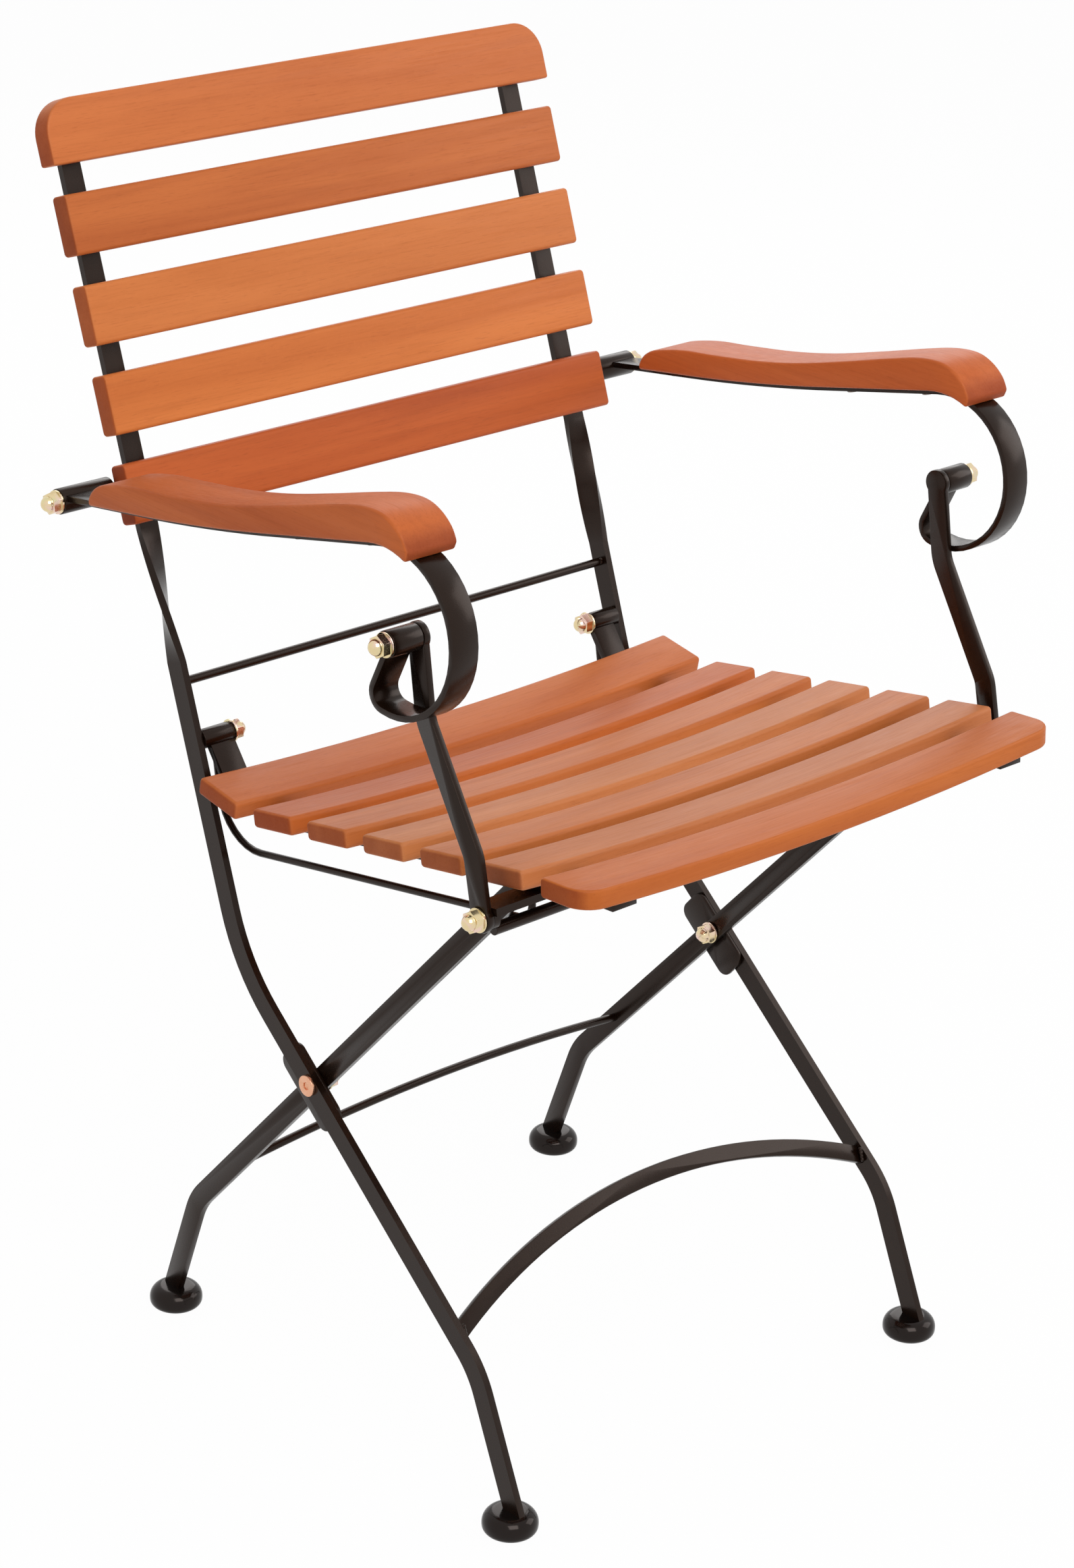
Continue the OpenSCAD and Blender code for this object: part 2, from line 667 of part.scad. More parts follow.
// Seat slats, from the rear to the front, sagging towards the middle
module at_seat_slat(i) {
  p = slat_place(i);
  on_seat(p[0], p[1], p[2]) children();
}
module at_seat_screw(i) {
  under = i == seat_count ? slat_under_rail + rail_t + strip_t : slat_under_rail + rail_t;
  at_seat_slat(i) translate([-rail_mid, 0, -under]) children();
}
module dished_board() {
  rotate([90, 0, 0]) linear_extrude(slat_w, center = true) intersection() {
    translate([0, slat_arc_r - seat_sag]) difference() {
      circle(slat_arc_r + seat_slat_t, $fn = 360);
      circle(slat_arc_r, $fn = 360);
    }
    translate([-slat_half, -3 * seat_slat_t]) square([slat_len, 4 * seat_slat_t]);
  }
}
module seat_slat(i) {
  color(wood) difference() {
    at_seat_slat(i) dished_board();
    both_sides() at_seat_screw(i) screw_shank(i == seat_count ? rail_t + strip_t : rail_t);
  }
}
module seat_slat_1() { seat_slat(1); }
module seat_slat_2() { seat_slat(2); }
module seat_slat_3() { seat_slat(3); }
module seat_slat_4() { seat_slat(4); }
module seat_slat_5() { seat_slat(5); }
module seat_slat_6() { seat_slat(6); }
module seat_slat_7() {
  plan = bent([
    [-slat_half, slat_w], [-slat_half, -slat_w / 2], [slat_half, -slat_w / 2], [slat_half, slat_w]
  ], [front_corner_r, front_corner_r]);
  color(wood) difference() {
    at_seat_slat(slat_count) intersection() {
      dished_board();
      translate([0, 0, -4 * seat_slat_t]) linear_extrude(6 * seat_slat_t) polygon(plan);
    }
    both_sides() at_seat_screw(slat_count) screw_shank(rail_t);
  }
}
module seat_slat_screws() {
  color(zinc) both_sides() for (i = [1 : slat_count])
    at_seat_screw(i) screw(i == seat_count ? rail_t + strip_t : rail_t);
}

// Post foot pivots: studs on the ears of the cross strip
post_nut_x = post_x + bar_t + face_gap;
module post_foot_bolts() {
  color(steel) both_sides()
    x_rod(post_foot, -post_nut_x - thread_len, post_nut_x + thread_len - ear_in, stud_r);
}
module post_foot_nuts() { color(zinc) both_sides() cap_nut(post_foot, -post_nut_x); }

// Arm strap: along the arm, round the scroll and back up to the front tube
arm_slope = 12.7;
arm_dir = [-cos(arm_slope), sin(arm_slope)];
arm_up = [sin(arm_slope), cos(arm_slope)];
arm_tube_r = arm_tube_d / 2;
strap_bend_y = -156.7;
strap_bend_z = 24.9;
strap_bend = arm_pivot + [strap_bend_y, strap_bend_z];
strap_bend_r = 1800;
strap_run = 167.7;
// The strap's rear end runs on into the tube's outline, where it is cut to the tube
strap_rear_slope = 8.1;
strap_rear_in = 2.5;
strap_rear_dir = [-cos(strap_rear_slope), sin(strap_rear_slope)];
strap_rear_up = [sin(strap_rear_slope), cos(strap_rear_slope)];
strap_start = meet(arm_pivot - [strap_rear_in, 0], [0, 1], strap_bend, strap_rear_dir);
scroll_top = strap_bend + strap_run * arm_dir;
scroll_centre = scroll_top - scroll_r * arm_up;
scroll_end = 278;
scroll_steps = 26;
function on_scroll(a) = scroll_centre + scroll_r * dir(a);
function scroll_arc(a, b, n) = [for (i = [0 : n]) on_scroll(a + (b - a) * i / n)];
hook_reach = 15;
hook_rise = 2;
hook_r = 10;
hook = on_scroll(scroll_end) + [hook_reach, hook_rise];
strap_bar = bent([strap_start, strap_bend, scroll_top - 8 * arm_dir], [strap_bend_r]);
strap_path = concat(
  strap_bar,
  scroll_arc(90 - arm_slope, scroll_end, scroll_steps),
  corner_arc(on_scroll(scroll_end), hook, arm_front, hook_r),
  [arm_front]
);
strap_x = arm_x - strap_w / 2;
module arm_strap() {
  color(steel) difference() {
    plate_at(-strap_x - strap_w, strap_w) polygon(ribbon(strap_path, strap_t));
    for (p = [arm_pivot, arm_front]) x_rod(p, -2 * frame_half, 2 * frame_half, arm_tube_r);
    for (d = arm_screw_at) at_arm_screw(d) translate([0, 0, -1]) screw_shank(strap_t);
  }
}
module arm_strap_right() { arm_strap(); }
module arm_strap_left() { on_left() arm_strap(); }
arm_screw_at = [-95, 80, 150];
module at_arm_screw(d) {
  slope = d < 0 ? strap_rear_slope : arm_slope;
  p = strap_bend + d * [-cos(slope), sin(slope)] - strap_t / 2 * [sin(slope), cos(slope)];
  translate([-arm_x, p[0], p[1]]) rotate([-slope, 0, 0]) children();
}
module arm_tube(p, start) {
  color(steel) difference() {
    x_rod(p, -arm_tube_end, arm_tube_end - start, arm_tube_r);
    x_rod(p, -2 * frame_half, 2 * frame_half, bore_r);
  }
}
module arm_rear_tube_right() { arm_tube(arm_pivot, arm_tube_start); }
module arm_rear_tube_left() { on_left() arm_tube(arm_pivot, arm_tube_start); }
arm_front_start = post_x + bar_t + face_gap;
module arm_front_tube_right() { arm_tube(arm_front, arm_front_start); }
module arm_front_tube_left() { on_left() arm_tube(arm_front, arm_front_start); }

// Wooden arm on top of the strap, its upper profile measured from the rear arm pivot
arm_top = [
  [-43.5, 15], [-46, 20], [-50.5, 24.5], [-58, 28.5], [-74, 33], [-92, 36.5], [-117, 39.5], [-160, 45.7],
  [-200, 54], [-243, 65.8], [-285, 78.2], [-310, 84.6], [-329, 86.2], [-342, 82.5], [-352, 75], [-357, 66.5]
];
arm_nose_angle = 118;
module arm_rest() {
  under = beside(strap_bar, -strap_t / 2);
  rear_y = arm_pivot[0] + arm_top[0][0];
  lower = concat(
    [meet([rear_y, 0], [0, 1], strap_bend + strap_t / 2 * strap_rear_up, strap_rear_dir)],
    [for (p = under) if (p[0] < rear_y) p],
    [for (a = [90 - arm_slope : 6 : arm_nose_angle]) scroll_centre + (scroll_r + strap_t / 2) * dir(a)]
  );
  color(arm_wood) difference() {
    plate_at(-arm_x - arm_w / 2, arm_w)
      polygon(concat(lower, reversed(curve([for (p = arm_top) arm_pivot + p]))));
    for (d = arm_screw_at) at_arm_screw(d) screw_shank(strap_t);
  }
}
module arm_rest_right() { arm_rest(); }
module arm_rest_left() { on_left() arm_rest(); }
module arm_screws() { color(zinc) for (d = arm_screw_at) at_arm_screw(d) screw(strap_t); }
module arm_screws_right() { arm_screws(); }
module arm_screws_left() { on_left() arm_screws(); }

// Arm post between seat and arm
post_eye_r = 9;
post_upper_y = -8.5;
post_upper_z = -52;
post_upper_r = 30;
post_lower_y = 8.5;
post_lower_z = 38;
post_lower_r = 25;
post_upper = arm_front + [post_upper_y, post_upper_z];
post_lower = post_foot + [post_lower_y, post_lower_z];
post_path = bent(
  [beyond(post_upper, arm_front, 2), post_upper, post_lower, beyond(post_lower, post_foot, 2)],
  [post_upper_r, post_lower_r]
);
module arm_post() {
  color(steel) difference() {
    union() {
      plate_at(-post_x - bar_t, bar_t) polygon(ribbon(post_path, bar_w));
      for (p = [post_foot, arm_front]) x_rod(p, -post_x - bar_t, bar_t, post_eye_r);
    }
    x_rod(post_foot, -2 * frame_half, 2 * frame_half, bore_r);
  }
}
module arm_post_right() { arm_post(); }
module arm_post_left() { on_left() arm_post(); }
module post_top_bolt() {
  start = post_x + bar_t;
  color(zinc) {
    x_rod(arm_front, -arm_nut_x, arm_nut_x - start, stud_r);
    translate([-arm_nut_x, arm_front[0], arm_front[1]]) rotate([0, -90, 0]) {
      cylinder(d = washer_d, h = washer_t);
      translate([0, 0, washer_t]) cylinder(d = nut_af / cos(30), h = nut_h, $fn = 6);
      translate([0, 0, washer_t + nut_h]) sphere(dome_r);
    }
  }
}
module post_top_bolt_right() { post_top_bolt(); }
module post_top_bolt_left() { on_left() post_top_bolt(); }

back_bar_left();
back_bar_right();
front_arch();
back_rod();
back_slat_1();
back_slat_2();
back_slat_3();
back_slat_4();
back_slat_5();
stop_plate_left();
stop_plate_right();
front_foot_left();
front_foot_right();
seat_pivot_studs();
arm_pivot_studs();
seat_pivot_nuts();
arm_pivot_nuts();
cross_bolts();
cross_nuts();
back_slat_screws();
rear_leg_left();
rear_leg_right();
rear_bow_rod();
rear_foot_left();
rear_foot_right();
slide_rod();
seat_rail_left();
seat_rail_right();
seat_tube_left();
seat_tube_right();
seat_cross_strip();
seat_front_rod();
guide_wire_left();
guide_wire_right();
seat_slat_1();
seat_slat_2();
seat_slat_3();
seat_slat_4();
seat_slat_5();
seat_slat_6();
seat_slat_7();
seat_slat_screws();
post_foot_bolts();
post_foot_nuts();
arm_strap_left();
arm_strap_right();
arm_rear_tube_left();
arm_rear_tube_right();
arm_front_tube_left();
arm_front_tube_right();
arm_rest_left();
arm_rest_right();
arm_screws_left();
arm_screws_right();
arm_post_left();
arm_post_right();
post_top_bolt_left();
post_top_bolt_right();
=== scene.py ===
import json
import math

import bpy
from mathutils import Matrix, Vector

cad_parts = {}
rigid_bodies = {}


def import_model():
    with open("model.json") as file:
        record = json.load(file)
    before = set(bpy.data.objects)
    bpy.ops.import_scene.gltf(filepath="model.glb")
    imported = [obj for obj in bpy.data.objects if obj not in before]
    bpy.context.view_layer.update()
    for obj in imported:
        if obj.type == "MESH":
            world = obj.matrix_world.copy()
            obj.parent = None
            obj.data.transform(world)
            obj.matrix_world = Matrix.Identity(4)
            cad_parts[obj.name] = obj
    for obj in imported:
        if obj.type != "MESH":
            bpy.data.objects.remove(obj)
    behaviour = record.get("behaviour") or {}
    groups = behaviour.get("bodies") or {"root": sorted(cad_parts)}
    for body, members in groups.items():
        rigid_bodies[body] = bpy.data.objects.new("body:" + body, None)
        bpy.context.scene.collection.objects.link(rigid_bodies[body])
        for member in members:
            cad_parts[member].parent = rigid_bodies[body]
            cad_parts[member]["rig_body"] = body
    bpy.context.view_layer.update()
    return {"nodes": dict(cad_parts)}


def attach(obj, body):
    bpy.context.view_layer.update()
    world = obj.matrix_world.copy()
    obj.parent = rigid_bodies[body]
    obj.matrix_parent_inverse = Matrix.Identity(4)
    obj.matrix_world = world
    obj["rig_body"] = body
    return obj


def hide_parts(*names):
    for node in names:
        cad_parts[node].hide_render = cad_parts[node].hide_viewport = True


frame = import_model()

nodes = frame["nodes"]

MM = 0.001  # a millimetre in metres, the unit of the scene
WHITE = (1, 1, 1, 1)


# ---- node trees --------------------------------------------------------------

class Wiring:
    """Short hands for a node tree: add a node with its values, and link it."""

    # A mix node has sockets for every kind of value. These are the ones for colours.
    MIX_AMOUNT, MIX_FIRST, MIX_SECOND, MIX_RESULT = 0, 6, 7, 2

    def __init__(self, tree):
        self.tree = tree

    def feed(self, socket, value):
        """Link the value if it comes out of a node, or else set it."""
        if isinstance(value, bpy.types.NodeSocket):
            self.tree.links.new(value, socket)
        else:
            socket.default_value = value

    def node(self, kind, values=None, **attributes):
        made = self.tree.nodes.new(kind)
        for name, value in attributes.items():
            setattr(made, name, value)
        for key, value in (values or {}).items():
            self.feed(made.inputs[key], value)
        return made

    def calculate(self, operation, a, b=0.0, clamp=False):
        made = self.node("ShaderNodeMath", {0: a, 1: b}, operation=operation, use_clamp=clamp)
        return made.outputs[0]

    def mix(self, amount, a, b, blend="MIX"):
        made = self.node("ShaderNodeMix", {
            self.MIX_AMOUNT: amount, self.MIX_FIRST: a, self.MIX_SECOND: b,
        }, data_type="RGBA", blend_type=blend, clamp_factor=True)
        return made.outputs[self.MIX_RESULT]

    def stretch(self, vector, scale):
        made = self.node("ShaderNodeVectorMath", {0: vector, 1: scale}, operation="MULTIPLY")
        return made.outputs[0]

    def noise(self, vector, scale=1.0, detail=3, rough=0.5, twist=0.0):
        return self.node("ShaderNodeTexNoise", {
            "Vector": vector, "Scale": scale, "Detail": detail, "Roughness": rough,
            "Distortion": twist,
        }).outputs["Fac"]

    def between(self, value, low, high, to_low=0.0, to_high=1.0):
        """The value's way from low to high, told as a number from to_low to to_high."""
        return self.node("ShaderNodeMapRange", {
            "Value": value, "From Min": low, "From Max": high,
            "To Min": to_low, "To Max": to_high,
        }).outputs["Result"]


# ---- camera, floor and light -------------------------------------------------

# The camera as fitted to the photograph: angles in degrees, lengths in metres
AZIMUTH, ELEVATION, ROLL = -43.26, 23.16, 1.85
CAMERA_AIM = (0, -0.0102, 0)
CAMERA_ASIDE, CAMERA_ABOVE, CAMERA_AWAY = 0.0054, 0.384, 2.8128
SENSOR_MM, LENS_MM = 36, 130.3

SURROUND_LIGHT = 0.50  # what the white surround gives to the chair
FLOOR_GREY = (0.86, 0.86, 0.86, 1)
FLOOR_GLOW = 0.97  # how far the floor itself looks as white as the surround
FLOOR_SIZE = 60

# Soft square lamps: place and side in metres, power in watts
LAMPS = {
    "key_lamp": ((-1.2, -2.4, 3.1), 2.2, 62),
    "side_lamp": ((2.8, -1.6, 2.0), 2.0, 26),
    "rear_lamp": ((1.9, 2.1, 2.0), 2.0, 22),
}
LAMP_AIM = Vector((0, 0, 0.45))


def photograph_camera():
    """The camera at the photograph's viewing angle."""
    azimuth, elevation, roll = (math.radians(angle) for angle in (AZIMUTH, ELEVATION, ROLL))
    back = Vector((math.sin(azimuth) * math.cos(elevation),
                   -math.cos(azimuth) * math.cos(elevation), math.sin(elevation)))
    level_right = Vector((math.cos(azimuth), math.sin(azimuth), 0))
    level_up = back.cross(level_right)
    right = math.cos(roll) * level_right + math.sin(roll) * level_up
    up = math.cos(roll) * level_up - math.sin(roll) * level_right
    place = (Vector(CAMERA_AIM) + CAMERA_ASIDE * right + CAMERA_ABOVE * up
             + CAMERA_AWAY * back)
    data = bpy.data.cameras.new("camera")
    data.sensor_fit = "HORIZONTAL"
    data.sensor_width = SENSOR_MM
    data.lens = LENS_MM
    data.clip_end = 100
    camera = bpy.data.objects.new("camera", data)
    columns = Matrix((right, up, back)).transposed().to_4x4()
    camera.matrix_world = Matrix.Translation(place) @ columns
    bpy.context.scene.collection.objects.link(camera)
    bpy.context.scene.camera = camera


def seen_directly(w):
    """1 for rays that come straight from the camera, off a gloss or through glass."""
    paths = w.node("ShaderNodeLightPath")
    total = paths.outputs["Is Camera Ray"]
    for name in ("Is Glossy Ray", "Is Transmission Ray"):
        total = w.calculate("MAXIMUM", total, paths.outputs[name])
    return total


def surround():
    """A world that gives even light and looks plain white itself."""
    world = bpy.data.worlds.new("studio")
    bpy.context.scene.world = world
    world.use_nodes = True
    w = Wiring(world.node_tree)
    light = world.node_tree.nodes["Background"]
    w.feed(light.inputs["Color"], WHITE)
    w.feed(light.inputs["Strength"], SURROUND_LIGHT)
    white = w.node("ShaderNodeBackground", {"Color": WHITE, "Strength": 1})
    both = w.node("ShaderNodeMixShader", {
        0: seen_directly(w), 1: light.outputs[0], 2: white.outputs[0],
    })
    w.feed(world.node_tree.nodes["World Output"].inputs["Surface"], both.outputs[0])


def pale_floor():
    """A floor under the feet that takes the light of the lamps and looks nearly white."""
    bpy.ops.mesh.primitive_plane_add(size=FLOOR_SIZE, location=(0, 0, 0))
    floor = bpy.context.object
    floor.name = "floor"
    paint = bpy.data.materials.new("floor_paint")
    paint.use_nodes = True
    tree = paint.node_tree
    tree.nodes.remove(tree.nodes["Principled BSDF"])
    w = Wiring(tree)
    matt = w.node("ShaderNodeBsdfDiffuse", {"Color": FLOOR_GREY})
    glow = w.node("ShaderNodeEmission", {"Color": WHITE, "Strength": 1})
    both = w.node("ShaderNodeMixShader", {
        0: w.calculate("MULTIPLY", seen_directly(w), FLOOR_GLOW),
        1: matt.outputs[0], 2: glow.outputs[0],
    })
    w.feed(tree.nodes["Material Output"].inputs["Surface"], both.outputs[0])
    floor.data.materials.append(paint)


def lamps():
    """Large soft lamps, turned to the chair's middle."""
    for name, (place, side, power) in LAMPS.items():
        data = bpy.data.lights.new(name, "AREA")
        data.shape = "SQUARE"
        data.size = side
        data.energy = power
        lamp = bpy.data.objects.new(name, data)
        lamp.location = place
        lamp.rotation_euler = (Vector(place) - LAMP_AIM).to_track_quat("Z", "Y").to_euler()
        bpy.context.scene.collection.objects.link(lamp)


# ---- shared effects ----------------------------------------------------------

# Sizes of the wood's noises, as counts per metre along and across the grain
TONE_BANDS = (2.2, 30, 30)
FIGURE_LINES = (9, 130, 130)
FINE_STREAKS = (22, 700, 700)
PORES = (90, 1500, 1500)
LIGHT_FLECKS = (230, 260, 260)

# How strongly each of them shows at most, and how cut ends differ
FIGURE_SHADE, STREAK_SHADE, PORE_SHADE, FLECK_SHINE = 0.6, 0.16, 0.26, 0.16
END_SHADE, END_ROUGHER = 0.55, 0.15

# Sizes of the coat's and the plating's noises, per metre
COAT_CLOUD, COAT_PEEL, COAT_DUST = 26, 900, 2600
PLATING_DRIFT, PLATING_GREEN, PLATING_SCRATCH = 90, 160, (3000, 500, 900)

# Depths of the bumps
WOOD_RELIEF, COAT_RELIEF, SCRATCH_RELIEF = 0.4 * MM, 0.3 * MM, 0.1 * MM

EFFECT_OUTPUTS = [("Color", "Color"), ("Roughness", "Float"), ("Normal", "Vector")]


def new_group(name, inputs):
    """An empty effect with the given inputs, and the outputs that all effects have."""
    tree = bpy.data.node_groups.new(name, "ShaderNodeTree")
    for label, kind, value in inputs:
        socket = tree.interface.new_socket(
            label, in_out="INPUT", socket_type="NodeSocket" + kind)
        if value is not None:
            socket.default_value = value
    for label, kind in EFFECT_OUTPUTS:
        tree.interface.new_socket(label, in_out="OUTPUT", socket_type="NodeSocket" + kind)
    given = tree.nodes.new("NodeGroupInput").outputs
    out = tree.nodes.new("NodeGroupOutput").inputs
    return Wiring(tree), given, out


def hardwood_group():
    """Oiled hardwood: grain along X of the given vector, pores, tone bands, dark cut ends."""
    w, given, out = new_group("hardwood", [
        ("Vector", "Vector", None), ("End", "Float", 0.0),
        ("Light", "Color", (0.6, 0.3, 0.15, 1)), ("Mid", "Color", (0.5, 0.2, 0.1, 1)),
        ("Dark", "Color", (0.3, 0.1, 0.04, 1)), ("Figure", "Float", 0.5),
    ])
    vector, dark, end = given["Vector"], given["Dark"], given["End"]
    bands = w.noise(w.stretch(vector, TONE_BANDS), detail=3, rough=0.5, twist=0.8)
    figure = w.noise(w.stretch(vector, FIGURE_LINES), detail=4, rough=0.55, twist=0.5)
    streaks = w.noise(w.stretch(vector, FINE_STREAKS), detail=3, rough=0.6)
    pores = w.noise(w.stretch(vector, PORES), detail=2, rough=0.5)
    flecks = w.noise(w.stretch(vector, LIGHT_FLECKS), detail=2, rough=0.6)

    tone = w.mix(w.between(bands, 0.34, 0.68), given["Mid"], given["Light"])
    lines = w.between(figure, 0.50, 0.74, to_high=FIGURE_SHADE)
    tone = w.mix(w.calculate("MULTIPLY", lines, given["Figure"], clamp=True), tone, dark)
    tone = w.mix(w.between(streaks, 0.52, 0.72, to_high=STREAK_SHADE), tone, dark)
    pore = w.between(pores, 0.60, 0.70, to_high=PORE_SHADE)
    tone = w.mix(pore, tone, dark)
    tone = w.mix(w.between(flecks, 0.55, 0.75, to_high=FLECK_SHINE), tone, given["Light"])
    w.feed(out["Color"], w.mix(end, tone, w.mix(END_SHADE, tone, dark, "MULTIPLY")))

    grain = w.between(streaks, 0.3, 0.7, 0.42, 0.54)
    w.feed(out["Roughness"], w.calculate("ADD", grain, w.calculate("MULTIPLY", end, END_ROUGHER)))
    height = w.calculate("SUBTRACT", w.calculate("MULTIPLY", streaks, 0.5), pore)
    bump = w.node("ShaderNodeBump", {
        "Strength": 0.16, "Distance": WOOD_RELIEF, "Height": height,
    })
    w.feed(out["Normal"], bump.outputs["Normal"])
    return w.tree


def coat_group():
    """Powder coat: a little mottle, faint orange peel, slightly browner where it is rubbed."""
    w, given, out = new_group("powder_coat", [
        ("Vector", "Vector", None), ("Base", "Color", (0.02, 0.02, 0.02, 1)),
        ("Rubbed", "Color", (0.06, 0.05, 0.045, 1)),
        ("Peel", "Float", 0.1), ("Gloss", "Float", 0.35),
    ])
    vector = given["Vector"]
    cloud = w.noise(vector, COAT_CLOUD, detail=3, rough=0.6)
    peel = w.noise(vector, COAT_PEEL, detail=2, rough=0.5)
    dust = w.noise(vector, COAT_DUST, detail=1, rough=0.5)
    rubbed = w.between(cloud, 0.45, 0.75, to_high=0.5)
    w.feed(out["Color"], w.mix(rubbed, given["Base"], given["Rubbed"]))
    rough = w.calculate("ADD", given["Gloss"], w.between(cloud, 0.3, 0.7, -0.04, 0.06))
    dusty = w.between(dust, 0.62, 0.72, to_high=0.10)
    w.feed(out["Roughness"], w.calculate("ADD", rough, dusty))
    bump = w.node("ShaderNodeBump", {
        "Distance": COAT_RELIEF, "Strength": given["Peel"], "Height": peel,
    })
    w.feed(out["Normal"], bump.outputs["Normal"])
    return w.tree


def plating_group():
    """Bright plating with a drifting iridescent tint and fine scratches."""
    w, given, out = new_group("plating", [
        ("Vector", "Vector", None), ("Base", "Color", (0.8, 0.65, 0.35, 1)),
        ("Tint", "Color", (0.75, 0.5, 0.45, 1)), ("Green", "Color", (0.6, 0.65, 0.4, 1)),
        ("Gloss", "Float", 0.2),
    ])
    vector = given["Vector"]
    drift = w.noise(vector, PLATING_DRIFT, detail=2, rough=0.5, twist=0.6)
    green = w.noise(vector, PLATING_GREEN, detail=2, rough=0.5)
    scratch = w.noise(w.stretch(vector, PLATING_SCRATCH), detail=2, rough=0.6)
    tone = w.mix(w.between(drift, 0.45, 0.65), given["Base"], given["Tint"])
    tone = w.mix(w.between(green, 0.55, 0.75, to_high=0.6), tone, given["Green"])
    w.feed(out["Color"], tone)
    worn = w.between(scratch, 0.4, 0.7, -0.04, 0.10)
    w.feed(out["Roughness"], w.calculate("ADD", given["Gloss"], worn))
    bump = w.node("ShaderNodeBump", {
        "Strength": 0.05, "Distance": SCRATCH_RELIEF, "Height": scratch,
    })
    w.feed(out["Normal"], bump.outputs["Normal"])
    return w.tree


# ---- materials ---------------------------------------------------------------

def in_place(w, place):
    """Object coordinates as they are."""
    return place.outputs["Object"]


def moved(offset, turn):
    """Object coordinates, turned to the board's length and shifted along the log."""
    def vector_of(w, place):
        return w.node("ShaderNodeMapping", {
            "Vector": place.outputs["Object"], "Location": offset,
            "Rotation": (0, 0, math.radians(turn)),
        }, vector_type="POINT").outputs["Vector"]
    return vector_of


def across_grain(axis):
    """1 on faces cut across the board, read from the face's own direction."""
    def mask(w, place):
        split = w.node("ShaderNodeSeparateXYZ", {"Vector": place.outputs["Normal"]})
        return w.between(w.calculate("ABSOLUTE", split.outputs[axis]), 0.6, 0.9)
    return mask


def surface(name, group, values, vector_of=in_place, metallic=0.0, plain=None):
    """A material whose colour, roughness and normal come from an effect.

    A value that is a function makes its own nodes. The plain ones go to the shader itself.
    """
    material = bpy.data.materials.new(name)
    material.use_nodes = True
    w = Wiring(material.node_tree)
    shader = w.tree.nodes["Principled BSDF"]
    place = w.node("ShaderNodeTexCoord")
    effect = w.node("ShaderNodeGroup", node_tree=group)
    w.feed(effect.inputs["Vector"], vector_of(w, place))
    for key, value in values.items():
        w.feed(effect.inputs[key], value(w, place) if callable(value) else value)
    for output, socket in (("Color", "Base Color"), ("Roughness", "Roughness"),
                           ("Normal", "Normal")):
        w.feed(shader.inputs[socket], effect.outputs[output])
    w.feed(shader.inputs["Metallic"], metallic)
    for key, value in (plain or {}).items():
        w.feed(shader.inputs[key], value)
    return material


def wood(name, tones, figure, offset, turn=0, axis="X"):
    """Wood in its light, middle and dark tone, with its ends cut across an axis."""
    light, mid, dark = ((*tone, 1) for tone in tones)
    return surface(name, hardwood, {
        "Light": light, "Mid": mid, "Dark": dark, "Figure": figure, "End": across_grain(axis),
    }, moved(offset, turn), plain={"Specular IOR Level": 0.25})


hardwood = hardwood_group()
powder_coat = coat_group()
plating = plating_group()

black_steel = surface("black_steel", powder_coat, {
    "Base": (0.0075, 0.0030, 0.0014, 1), "Rubbed": (0.015, 0.008, 0.005, 1),
    "Peel": 0.08, "Gloss": 0.24,
}, plain={"Specular IOR Level": 0.28, "Specular Tint": (1.0, 0.79, 0.69, 1)})
foot_plastic = surface("foot_plastic", powder_coat, {
    "Base": (0.0040, 0.0026, 0.0022, 1), "Rubbed": (0.007, 0.005, 0.004, 1),
    "Peel": 0.03, "Gloss": 0.12,
}, plain={"Specular IOR Level": 0.26, "Specular Tint": (1.0, 0.84, 0.78, 1)})
yellow_zinc = surface("yellow_zinc", plating, {
    "Base": (0.76, 0.62, 0.36, 1), "Tint": (0.82, 0.60, 0.52, 1),
    "Green": (0.64, 0.64, 0.38, 1), "Gloss": 0.17,
}, metallic=1.0)
copper_plate = surface("copper_plate", plating, {
    "Base": (0.76, 0.40, 0.25, 1), "Tint": (0.82, 0.47, 0.32, 1),
    "Green": (0.72, 0.40, 0.24, 1), "Gloss": 0.30,
}, metallic=1.0)
dark_zinc = surface("dark_zinc", plating, {
    "Base": (0.20, 0.19, 0.18, 1), "Tint": (0.26, 0.24, 0.22, 1),
    "Green": (0.16, 0.16, 0.15, 1), "Gloss": 0.34,
}, metallic=1.0)


# ---- shaping -----------------------------------------------------------------

MERGE_DISTANCE = 0.01 * MM
FLAT_WITHIN = math.radians(0.4)  # faces this close to flat become one
SHARP_CORNER = math.radians(60)
SMOOTH_WITHIN = math.radians(35)  # shading runs smooth over less than this

FOOT_HEIGHT, FOOT_DOME, FOOT_SOLE = 15.5 * MM, 9 * MM, 5 * MM
FOOT_SIDES = 64


def only(*objects):
    """Select these objects alone, the first as the active one."""
    bpy.ops.object.select_all(action="DESELECT")
    for thing in objects:
        thing.select_set(True)
    bpy.context.view_layer.objects.active = objects[0]


def copied(node, name):
    """A merged copy of the node's own mesh, to be worked on as the visible piece."""
    source = nodes[node]
    piece = bpy.data.objects.new(name, source.data.copy())
    bpy.context.scene.collection.objects.link(piece)
    only(piece)
    bpy.ops.object.mode_set(mode="EDIT")
    bpy.ops.mesh.select_all(action="SELECT")
    bpy.ops.mesh.customdata_custom_splitnormals_clear()
    bpy.ops.mesh.remove_doubles(threshold=MERGE_DISTANCE)
    bpy.ops.mesh.dissolve_limited(angle_limit=FLAT_WITHIN)
    bpy.ops.mesh.select_all(action="DESELECT")
    bpy.ops.object.mode_set(mode="OBJECT")
    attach(piece, source["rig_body"])
    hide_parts(node)
    return piece


